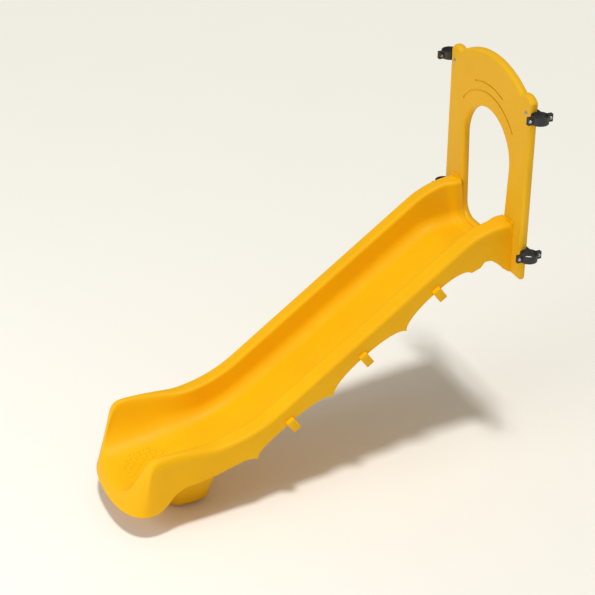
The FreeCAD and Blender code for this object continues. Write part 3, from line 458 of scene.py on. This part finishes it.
def rim_point(s, e, part):
    """A point of the lip's rim: 0 at the middle of its front, 1 where it meets the front corner of
    the side, 2 at the foot of the skirt."""
    if part <= 1.0:
        turn = part * math.pi / 2
        height = e.rim_height + (e.side_height - e.rim_height) * part ** 2
        return np.array([e.half * math.sin(turn) ** e.square,
                         e.centre - e.reach * math.cos(turn) ** e.square, s.ground + height])
    keys = np.array([
        [1.0, e.half, e.centre, e.side_height],
        [1.3, e.half + 0.001, -2.215, 0.196],
        [1.6, e.half - 0.002, -2.170, 0.236],
        [1.85, e.half - 0.004, -2.137, 0.275],
        [2.0, e.half - 0.004, -2.120, 0.288],
    ])
    row = [np.interp(part, keys[:, 0], keys[:, column]) for column in (1, 2, 3)]
    return np.array([row[0], row[1], s.ground + row[2]])


def exit_lip(s, e, half):
    """Lines that carry the last section forward and turn it down to the rim."""
    count = len(half)
    top = half[:, 2].max()
    floor = half[0, 2]
    lines = []
    for index, start in enumerate(half):
        across = start[0] / s.inner_half
        height = (start[2] - floor) / (top - floor)
        if index < WALL_END:
            part = 0.36 * index / WALL_END
        elif index < LIP_END:
            part = 0.36 + 0.26 * (index - WALL_END) / (LIP_END - WALL_END)
        elif index < RIM_END:
            part = 0.62 + 0.30 * (index - LIP_END) / (RIM_END - LIP_END)
        else:
            part = None
        if part is not None:
            finish = rim_point(s, e, part)
            blend = ease(max(height, 0.0) ** 0.8)
            front = e.front + (e.corner - e.front) * blend
            bow = 0.030 * min(1.0, across) ** 2 * (1 - blend)
            corner_y = front + bow
            drop = s.exit_fall * (start[1] - corner_y) * (1 - blend)
            flare = 0.022 * math.sin(math.pi * min(1.0, max(0.0, height))) if index < 46 else 0.0
            corner = np.array([min(start[0] + flare, s.outer_half), corner_y, start[2] - drop])
            radius = e.front_round + (e.corner_round - e.front_round) * blend
        else:
            down = (index - RIM_END) / (count - 1 - RIM_END)
            part = 0.92 + 1.08 * down ** 0.9
            finish = rim_point(s, e, min(part, 2.0))
            reach = (1 - down) ** 0.75
            corner_y = e.back + (e.corner - e.back) * reach
            corner = np.array([start[0] + (finish[0] - start[0]) * 0.3, corner_y,
                               start[2] + (finish[2] - start[2]) * 0.05])
            radius = e.corner_round
        if np.linalg.norm(finish - start) < 0.003:
            lines.append(np.repeat(start[None, :], 1 + TURN_STEPS + 2 * RUN_STEPS, axis=0))
            continue
        path = rounded([start, corner, finish], (radius,), TURN_STEPS, RUN_STEPS)
        lines.append(path)
    size = min(len(line) for line in lines)
    lines = [line if len(line) == size else resample(line, size) for line in lines]
    return np.array(lines).transpose(1, 0, 2)


def resample(points, count):
    places = np.linspace(0, len(points) - 1, count)
    base = np.arange(len(points))
    return np.column_stack([np.interp(places, base, points[:, axis]) for axis in range(3)])


class SLIDE_OT_chute(bpy.types.Operator):
    """Build the moulded chute with its rails, scalloped skirts and exit lip"""
    bl_idname = "slide.chute"
    bl_label = "Chute"

    def execute(self, context):
        s, e = context.scene.slide_chute, context.scene.slide_exit
        thing = sheet_mesh("chute_shell", chute_points(s, e), s.skin)
        add_piece(thing, plastic("Chute plastic", context.scene.slide_finish, True))
        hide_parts("slide_bedway")
        return {"FINISHED"}


def block(name, corners, depth, bevel):
    """A prism on a flat outline seen from +X, centred on its own place, with eased edges."""
    work = bmesh.new()
    base = [work.verts.new((-depth / 2, y, z)) for y, z in corners]
    face = work.faces.new(base)
    made = bmesh.ops.extrude_face_region(work, geom=[face])
    moved = [item for item in made["geom"] if isinstance(item, bmesh.types.BMVert)]
    bmesh.ops.translate(work, verts=moved, vec=(depth, 0, 0))
    bmesh.ops.recalc_face_normals(work, faces=work.faces)
    bmesh.ops.bevel(work, geom=list(work.edges), offset=bevel, segments=3, profile=0.5,
                    affect="EDGES", clamp_overlap=True)
    mesh = bpy.data.meshes.new(name)
    work.to_mesh(mesh)
    work.free()
    return mesh


class SLIDE_OT_lugs(bpy.types.Operator):
    """Add the square lugs on the skirts, half way between their points"""
    bl_idname = "slide.lugs"
    bl_label = "Skirt lugs"

    def execute(self, context):
        s = context.scene.slide_chute
        material = plastic("Chute plastic", context.scene.slide_finish, True)
        line = RailLine(s)
        for number in range(3):
            distance = s.point_start + (number + 0.5) * s.pitch
            y, z, tilt = line.at(distance)
            down, away = (-math.cos(tilt), -math.sin(tilt)), (-math.sin(tilt), math.cos(tilt))
            half = s.lug_long / 2
            outline = ((-half, -s.lug_low), (half, -s.lug_low), (half, s.lug_tall - s.lug_low),
                       (-half, s.lug_tall - s.lug_low))
            corners = [(y + a * down[0] + b * away[0], z + a * down[1] + b * away[1])
                       for a, b in outline]
            mesh = block("lug", corners, s.lug_deep, 0.005)
            for side, word in ((-1, "left"), (1, "right")):
                copy = mesh.copy()
                for vertex in copy.vertices:
                    vertex.co.x += side * (s.outer_half + s.flare)
                thing = finish_mesh(f"skirt_lug_{word}_{number + 1}", copy, crease=50)
                add_piece(thing, material)
        return {"FINISHED"}


# ---------------------------------------------------------------- foot

def under_bed(s, x, y):
    """Height of the chute's underside beside its middle line."""
    side = min(s.bed_round * 1.4, max(0.0, abs(x) - (s.bed_half - s.bed_round)))
    curve = s.bed_round * 1.4
    return bed_height(s, y) + curve - math.sqrt(curve ** 2 - side ** 2) - s.skin / 2


class SLIDE_OT_foot(bpy.types.Operator):
    """Build the bowl-shaped foot under the exit"""
    bl_idname = "slide.foot"
    bl_label = "Foot"

    def execute(self, context):
        s, e = context.scene.slide_chute, context.scene.slide_exit
        rings = []
        around = 96
        profile = []
        for step in range(9):
            profile.append((0.0, 0.12 * step / 8 + 0.0001, 0.004))
        steps = 14
        for step in range(steps + 1):
            turn = step / steps * math.pi / 2
            inset = e.foot_round * (1 - math.sin(turn))
            rise = e.foot_round * (1 - math.cos(turn))
            profile.append((inset, None, FOOT_GAP + rise))
        for step in range(1, 17):
            part = step / 16
            profile.append((-e.foot_taper * part ** 1.25, None,
                            FOOT_GAP + e.foot_round + (e.foot_tall - e.foot_round) * part))
        base_x = e.foot_wide / 2 - e.foot_taper
        base_y = e.foot_long / 2 - e.foot_taper
        for inset, share, height in profile:
            rise_part = max(0.0, (height - e.foot_round) / (e.foot_tall - e.foot_round))
            ring = []
            for step in range(around):
                turn = step / around * math.tau
                a, b = math.cos(turn), math.sin(turn)
                power = 2 / 3.2
                wide = base_x - inset
                deep = base_y - inset
                if share is not None:
                    wide = (base_x - e.foot_round) * share / 0.1201
                    deep = (base_y - e.foot_round) * share / 0.1201
                x = wide * math.copysign(abs(a) ** power, a)
                y = deep * math.copysign(abs(b) ** power, b)
                rise = FOOT_GAP + FOOT_WALL
                if share is None:
                    rise = height + FOOT_WALL * (1 - rise_part) ** 2
                under = under_bed(s, x, e.foot_centre + y) - s.skin - s.ground - e.foot_tall
                ring.append((x, e.foot_centre + y, s.ground + rise + under * rise_part ** 2))
            ring.append(ring[0])
            rings.append(ring)
        thing = sheet_mesh("exit_foot", np.array(rings), -FOOT_WALL)
        add_piece(thing, plastic("Chute plastic", context.scene.slide_finish, True))
        return {"FINISHED"}


# ---------------------------------------------------------------- grip ridges

def socket(group, name, kind, default, output=False):
    item = group.interface.new_socket(name=name, in_out="OUTPUT" if output else "INPUT",
                                      socket_type=kind)
    if default is not None:
        item.default_value = default
    return item


def ridge_nodes(material):
    """Node group: puts one ridge on every point it is given, turned one way or the other in turn."""
    group = bpy.data.node_groups.new("Grip ridges", "GeometryNodeTree")
    socket(group, "Geometry", "NodeSocketGeometry", None)
    socket(group, "Ridge length", "NodeSocketFloat", 0.02)
    socket(group, "Ridge width", "NodeSocketFloat", 0.0045)
    socket(group, "Ridge height", "NodeSocketFloat", 0.0016)
    socket(group, "Seed", "NodeSocketInt", 7)
    socket(group, "Geometry", "NodeSocketGeometry", None, output=True)
    link = group.links.new
    given = group.nodes.new("NodeGroupInput")
    ball = group.nodes.new("GeometryNodeMeshUVSphere")
    ball.inputs["Segments"].default_value = 12
    ball.inputs["Rings"].default_value = 8
    ball.inputs["Radius"].default_value = 1.0
    size = group.nodes.new("ShaderNodeCombineXYZ")
    link(given.outputs["Ridge width"], size.inputs["X"])
    link(given.outputs["Ridge length"], size.inputs["Y"])
    link(given.outputs["Ridge height"], size.inputs["Z"])
    shaped = group.nodes.new("GeometryNodeTransform")
    link(ball.outputs["Mesh"], shaped.inputs["Geometry"])
    link(size.outputs["Vector"], shaped.inputs["Scale"])
    turn = group.nodes.new("FunctionNodeRandomValue")
    turn.data_type = "FLOAT_VECTOR"
    turn.inputs["Min"].default_value = (0.0, 0.0, -0.03)
    turn.inputs["Max"].default_value = (0.0, 0.0, 0.03)
    link(given.outputs["Seed"], turn.inputs["Seed"])
    tilt = group.nodes.new("GeometryNodeInputNamedAttribute")
    tilt.data_type = "FLOAT_VECTOR"
    tilt.inputs["Name"].default_value = "turn"
    whole = group.nodes.new("ShaderNodeVectorMath")
    link(tilt.outputs["Attribute"], whole.inputs[0])
    link(turn.outputs["Value"], whole.inputs[1])
    place = group.nodes.new("GeometryNodeInstanceOnPoints")
    link(given.outputs["Geometry"], place.inputs["Points"])
    link(shaped.outputs["Geometry"], place.inputs["Instance"])
    link(whole.outputs["Vector"], place.inputs["Rotation"])
    real = group.nodes.new("GeometryNodeRealizeInstances")
    link(place.outputs["Instances"], real.inputs["Geometry"])
    paint = group.nodes.new("GeometryNodeSetMaterial")
    paint.inputs["Material"].default_value = material
    link(real.outputs["Geometry"], paint.inputs["Geometry"])
    result = group.nodes.new("NodeGroupOutput")
    link(paint.outputs["Geometry"], result.inputs["Geometry"])
    return group


class SLIDE_OT_grip(bpy.types.Operator):
    """Scatter the grip ridges on the bed at the exit"""
    bl_idname = "slide.grip"
    bl_label = "Grip ridges"

    def execute(self, context):
        e = context.scene.slide_exit
        face = bpy.data.objects["chute_shell"].data
        surface_tree = BVHTree.FromPolygons([vertex.co for vertex in face.vertices],
                                            [list(polygon.vertices) for polygon in face.polygons])
        points, turns = [], []
        count = int(e.grip_half // e.grip_step)
        for row in range(-count, count + 1):
            for column in range(-count, count + 1):
                if abs(row) + abs(column) > count * 1.6:
                    continue
                x = column * e.grip_step
                y = e.grip_centre + row * e.grip_step
                place, normal = surface_tree.ray_cast(Vector((x, y, 0.0)), Vector((0, 0, -1)))[:2]
                points.append(place)
                way = 1 if (row + column) % 2 else -1
                lean = normal.to_track_quat("Z", "Y")
                spin = Quaternion((0, 0, 1), way * math.radians(38))
                turns.append((lean @ spin).to_euler())
        mesh = bpy.data.meshes.new("grip_points")
        mesh.from_pydata(points, [], [])
        turned = mesh.attributes.new("turn", "FLOAT_VECTOR", "POINT")
        for value, turn in zip(turned.data, turns):
            value.vector = turn
        thing = bpy.data.objects.new("grip_ridges", mesh)
        context.collection.objects.link(thing)
        material = plastic("Chute plastic", context.scene.slide_finish, True)
        group = ridge_nodes(material)
        nodes = thing.modifiers.new("Ridges", "NODES")
        nodes.node_group = group
        given = {"Ridge length": e.grip_long / 2, "Ridge width": e.grip_wide / 2,
                 "Ridge height": e.grip_tall, "Seed": 7}
        for item in group.interface.items_tree:
            if item.in_out == "INPUT" and item.name in given:
                nodes[item.identifier] = given[item.name]
        bake(thing)
        for face in thing.data.polygons:
            face.use_smooth = True
        add_piece(thing, material)
        return {"FINISHED"}


# ---------------------------------------------------------------- flange

class SLIDE_OT_flange(bpy.types.Operator):
    """Build the flange that bolts the chute to the hood panel"""
    bl_idname = "slide.flange"
    bl_label = "Entry flange"

    def execute(self, context):
        s = context.scene.slide_chute
        line = RailLine(s)
        y, z, tilt = line.at(0.0)
        half = section(s, bed_offset(s, y, z, tilt), 0.0, 0.0, 0.0, 1.0)
        lip = int(np.argmax(half[:, 1]))
        trough = mirrored(half[:lip + 1])
        low = s.ground + 1.240
        wide = s.outer_half + s.flare
        top = z + s.rail_height
        outline = [(x, z + n) for x, n in trough]
        outline += [(wide - 0.012, top + 0.006), (wide - 0.003, top + 0.002), (wide, top - 0.010)]
        for step in range(9):
            turn = step / 8 * math.pi / 2
            outline.append((wide - 0.03 + 0.03 * math.cos(turn), low + 0.03 - 0.03 * math.sin(turn)))
        for step in range(9):
            turn = step / 8 * math.pi / 2
            outline.append((-wide + 0.03 - 0.03 * math.sin(turn), low + 0.03 - 0.03 * math.cos(turn)))
        outline += [(-wide, top - 0.010), (-wide + 0.003, top + 0.002), (-wide + 0.012, top + 0.006)]
        work = bmesh.new()
        base = [work.verts.new((x, s.start - 0.0005, height)) for x, height in outline]
        face = work.faces.new(base)
        made = bmesh.ops.extrude_face_region(work, geom=[face])
        moved = [item for item in made["geom"] if isinstance(item, bmesh.types.BMVert)]
        bmesh.ops.translate(work, verts=moved, vec=(0, -0.010, 0))
        bmesh.ops.triangulate(work, faces=work.faces, ngon_method="EAR_CLIP")
        mesh = bpy.data.meshes.new("flange")
        work.to_mesh(mesh)
        work.free()
        thing = finish_mesh("entry_flange", mesh, crease=30)
        add_piece(thing, plastic("Chute plastic", context.scene.slide_finish, True))
        return {"FINISHED"}


# ---------------------------------------------------------------- materials

def node_set(material):
    material.use_nodes = True
    tree = material.node_tree
    tree.nodes.clear()
    return tree


def add_node(tree, kind, **values):
    node = tree.nodes.new(kind)
    for name, value in values.items():
        setattr(node, name, value)
    return node


def noise(tree, coordinates, scale, detail=4.0, roughness=0.5, stretch=None):
    source = coordinates
    if stretch:
        mapping = add_node(tree, "ShaderNodeMapping")
        mapping.inputs["Scale"].default_value = stretch
        tree.links.new(coordinates, mapping.inputs["Vector"])
        source = mapping.outputs["Vector"]
    node = add_node(tree, "ShaderNodeTexNoise")
    node.inputs["Scale"].default_value = scale
    node.inputs["Detail"].default_value = detail
    node.inputs["Roughness"].default_value = roughness
    tree.links.new(source, node.inputs["Vector"])
    return node.outputs["Fac"]


def spread(tree, value, low, high, new_low, new_high):
    node = add_node(tree, "ShaderNodeMapRange", clamp=True)
    tree.links.new(value, node.inputs["Value"])
    node.inputs["From Min"].default_value = low
    node.inputs["From Max"].default_value = high
    node.inputs["To Min"].default_value = new_low
    node.inputs["To Max"].default_value = new_high
    return node.outputs["Result"]


def sums(tree, operation, a, b):
    node = add_node(tree, "ShaderNodeMath", operation=operation)
    for socket, value in zip(node.inputs, (a, b)):
        if isinstance(value, (int, float)):
            socket.default_value = value
        else:
            tree.links.new(value, socket)
    return node.outputs["Value"]


def mix(tree, part, one, two):
    node = add_node(tree, "ShaderNodeMix", data_type="RGBA")
    tree.links.new(part, node.inputs[0])
    for socket, value in ((node.inputs[6], one), (node.inputs[7], two)):
        if isinstance(value, tuple):
            socket.default_value = value
        else:
            tree.links.new(value, socket)
    return node.outputs[2]


def rgba(value):
    return (value[0], value[1], value[2], 1.0)


def bump(tree, height, strength, distance, before=None):
    node = add_node(tree, "ShaderNodeBump")
    node.inputs["Strength"].default_value = strength
    node.inputs["Distance"].default_value = distance
    tree.links.new(height, node.inputs["Height"])
    if before:
        tree.links.new(before, node.inputs["Normal"])
    return node.outputs["Normal"]


def surface(tree, shader):
    output = add_node(tree, "ShaderNodeOutputMaterial")
    tree.links.new(shader.outputs["BSDF"], output.inputs["Surface"])


def plastic(name, f, slide):
    """Moulded polyethylene: mottled colour, orange-peel skin, and fine scuffs down the bed."""
    found = bpy.data.materials.get(name)
    if found:
        return found
    material = bpy.data.materials.new(name)
    tree = node_set(material)
    place = add_node(tree, "ShaderNodeTexCoord").outputs["Object"]
    shader = add_node(tree, "ShaderNodeBsdfPrincipled")
    shader.inputs["IOR"].default_value = 1.5
    shader.inputs["Specular IOR Level"].default_value = 0.16
    light, deep = (f.chute, f.chute_deep) if slide else (f.hood, f.hood_deep)
    mottle = spread(tree, noise(tree, place, 3.2, 6.0, 0.6), 0.35, 0.70, 0.0, 1.0)
    base = mix(tree, mottle, rgba(light), rgba(deep))
    grain = noise(tree, place, 420.0, 2.0, 0.5)
    peel = noise(tree, place, 95.0, 3.0, 0.45)
    rough = spread(tree, noise(tree, place, 7.0, 5.0, 0.6), 0.3, 0.7, 0.44, 0.54)
    if slide:
        streak = noise(tree, place, 1.0, 5.0, 0.65, stretch=(190.0, 2.2, 2.2))
        apart = add_node(tree, "ShaderNodeSeparateXYZ")
        tree.links.new(place, apart.inputs["Vector"])
        beside = sums(tree, "ABSOLUTE", apart.outputs["X"], 0.0)
        bed = spread(tree, beside, 0.14, 0.23, 1.0, 0.0)
        scuff = sums(tree, "MULTIPLY", spread(tree, streak, 0.56, 0.74, 0.0, 1.0), bed)
        pale = tuple(min(1.0, c * 1.02 + 0.05) for c in light) + (1.0,)
        base = mix(tree, sums(tree, "MULTIPLY", scuff, 0.22), base, pale)
        rough = sums(tree, "ADD", rough, sums(tree, "MULTIPLY", scuff, 0.10))
    tree.links.new(base, shader.inputs["Base Color"])
    tree.links.new(rough, shader.inputs["Roughness"])
    skin = bump(tree, peel, 0.10, 0.0012)
    skin = bump(tree, grain, 0.08, 0.0003, skin)
    tree.links.new(skin, shader.inputs["Normal"])
    surface(tree, shader)
    return material


def metal(name, light, dark, metallic, rough_low, rough_high, scale, grain):
    """A metal or a painted metal: two tones by noise, and a fine grain."""
    found = bpy.data.materials.get(name)
    if found:
        return found
    material = bpy.data.materials.new(name)
    tree = node_set(material)
    place = add_node(tree, "ShaderNodeTexCoord").outputs["Object"]
    shader = add_node(tree, "ShaderNodeBsdfPrincipled")
    shader.inputs["Metallic"].default_value = metallic
    cloud = noise(tree, place, scale, 5.0, 0.6)
    tree.links.new(mix(tree, spread(tree, cloud, 0.35, 0.7, 0.0, 1.0), rgba(light), rgba(dark)),
                   shader.inputs["Base Color"])
    tree.links.new(spread(tree, noise(tree, place, scale * 2.5, 4.0, 0.55), 0.3, 0.7,
                          rough_low, rough_high), shader.inputs["Roughness"])
    tree.links.new(bump(tree, noise(tree, place, 900.0, 2.0, 0.5), grain, 0.0002),
                   shader.inputs["Normal"])
    surface(tree, shader)
    return material


class SLIDE_OT_finishes(bpy.types.Operator):
    """Give every CAD node its finish"""
    bl_idname = "slide.finishes"
    bl_label = "Finishes"

    def execute(self, context):
        f = context.scene.slide_finish
        black = metal("Powder coat", f.black, f.black_grey, 0.0, 0.42, 0.58, 22.0, 0.25)
        steel = metal("Stainless steel", f.steel, f.steel_dark, 1.0, 0.24, 0.40, 60.0, 0.10)
        brass = metal("Brass", f.brass, f.brass_dark, 1.0, 0.28, 0.44, 60.0, 0.10)
        zinc = metal("Galvanised", f.zinc, f.zinc_dark, 0.9, 0.38, 0.55, 45.0, 0.15)
        hood = plastic("Hood plastic", f, False)
        chute = plastic("Chute plastic", f, True)
        for name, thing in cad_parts.items():
            if "clamp_body" in name or "clamp_cap" in name:
                material = black
            elif name.endswith("inserts"):
                material = brass
            elif name == "exit_anchor_plate":
                material = zinc
            elif name == "hood_panel":
                material = hood
            elif name == "slide_bedway":
                material = chute
            else:
                material = steel
            for slot in thing.material_slots:
                slot.material = material
            if not thing.material_slots:
                raise RuntimeError(f"{name} has no material slot")
        return {"FINISHED"}


# ---------------------------------------------------------------- studio

def area_light(name, place, aim, size, power, tint):
    lamp = bpy.data.lights.new(name, "AREA")
    lamp.shape = "DISK"
    lamp.size = size
    lamp.energy = power
    lamp.color = tint
    thing = bpy.data.objects.new(name, lamp)
    bpy.context.collection.objects.link(thing)
    thing.location = place
    thing.rotation_euler = (Vector(aim) - Vector(place)).to_track_quat("-Z", "Y").to_euler()
    return thing


class SLIDE_OT_stage(bpy.types.Operator):
    """Set the floor, the lights and the camera"""
    bl_idname = "slide.stage"
    bl_label = "Stage"

    def execute(self, context):
        t = context.scene.slide_stage
        ground = context.scene.slide_chute.ground
        size = t.floor_size
        mesh = bpy.data.meshes.new("floor")
        mesh.from_pydata([(-size, -size, ground), (size, -size, ground), (size, size, ground),
                          (-size, size, ground)], [], [(0, 1, 2, 3)])
        floor = bpy.data.objects.new("floor", mesh)
        bpy.context.collection.objects.link(floor)
        material = bpy.data.materials.new("Floor")
        tree = node_set(material)
        place = add_node(tree, "ShaderNodeTexCoord").outputs["Object"]
        shader = add_node(tree, "ShaderNodeBsdfPrincipled")
        shader.inputs["Roughness"].default_value = 0.85
        shade = tuple(c * 0.985 for c in t.floor_colour) + (1.0,)
        tree.links.new(mix(tree, noise(tree, place, 1.5, 3.0, 0.5), rgba(t.floor_colour), shade),
                       shader.inputs["Base Color"])
        surface(tree, shader)
        mesh.materials.append(material)
        sun = bpy.data.lights.new("overhead", "SUN")
        sun.energy = t.key
        sun.angle = t.soft
        sun.color = (1.0, 1.0, 1.0)
        overhead = bpy.data.objects.new("overhead", sun)
        bpy.context.collection.objects.link(overhead)
        overhead.rotation_euler = Vector((-0.23, 0.06, -1.0)).to_track_quat("-Z", "Y").to_euler()
        area_light("front", (1.2, -8.0, 2.4), (0.0, -0.6, 0.2), 4.0, t.fill, (1.0, 0.98, 0.95))
        world = bpy.data.worlds.new("Studio")
        world.use_nodes = True
        world.node_tree.nodes["Background"].inputs["Color"].default_value = (1.0, 0.975, 0.90, 1.0)
        world.node_tree.nodes["Background"].inputs["Strength"].default_value = t.sky
        context.scene.world = world
        context.scene.view_settings.view_transform = "Standard"
        camera = bpy.data.objects.new("camera", bpy.data.cameras.new("camera"))
        bpy.context.collection.objects.link(camera)
        camera.location = (7.652, -4.700, 4.842)
        aim = Vector((0.02, -1.235, -0.13)) - camera.location
        camera.rotation_mode = "QUATERNION"
        roll = Quaternion((0, 0, 1), math.radians(0.17))
        camera.rotation_quaternion = aim.to_track_quat("-Z", "Y") @ roll
        camera.data.lens = t.lens
        camera.data.clip_end = 120.0
        context.scene.camera = camera
        return {"FINISHED"}


# ---------------------------------------------------------------- add-on

class SLIDE_PT_panel(bpy.types.Panel):
    """The pieces of the slide, in the order they are built"""
    bl_label = "Slide"
    bl_idname = "SLIDE_PT_panel"
    bl_space_type = "VIEW_3D"
    bl_region_type = "UI"
    bl_category = "Slide"

    def draw(self, context):
        for operator in OPERATORS:
            self.layout.operator(operator.bl_idname)


OPERATORS = (SLIDE_OT_finishes, SLIDE_OT_chute, SLIDE_OT_lugs, SLIDE_OT_foot, SLIDE_OT_grip,
             SLIDE_OT_flange, SLIDE_OT_stage)
GROUPS = (("slide_chute", SlideChuteSettings), ("slide_exit", SlideExitSettings),
          ("slide_finish", SlideFinishSettings), ("slide_stage", SlideStageSettings))


def register():
    for name, group in GROUPS:
        bpy.utils.register_class(group)
        setattr(bpy.types.Scene, name, bpy.props.PointerProperty(type=group))
    for operator in OPERATORS:
        bpy.utils.register_class(operator)
    bpy.utils.register_class(SLIDE_PT_panel)


def unregister():
    bpy.utils.unregister_class(SLIDE_PT_panel)
    for operator in reversed(OPERATORS):
        bpy.utils.unregister_class(operator)
    for name, group in reversed(GROUPS):
        delattr(bpy.types.Scene, name)
        bpy.utils.unregister_class(group)


def main():
    register()
    for operator in OPERATORS:
        group, action = operator.bl_idname.split(".")
        getattr(getattr(bpy.ops, group), action)()


if __name__ == "__main__":
    main()
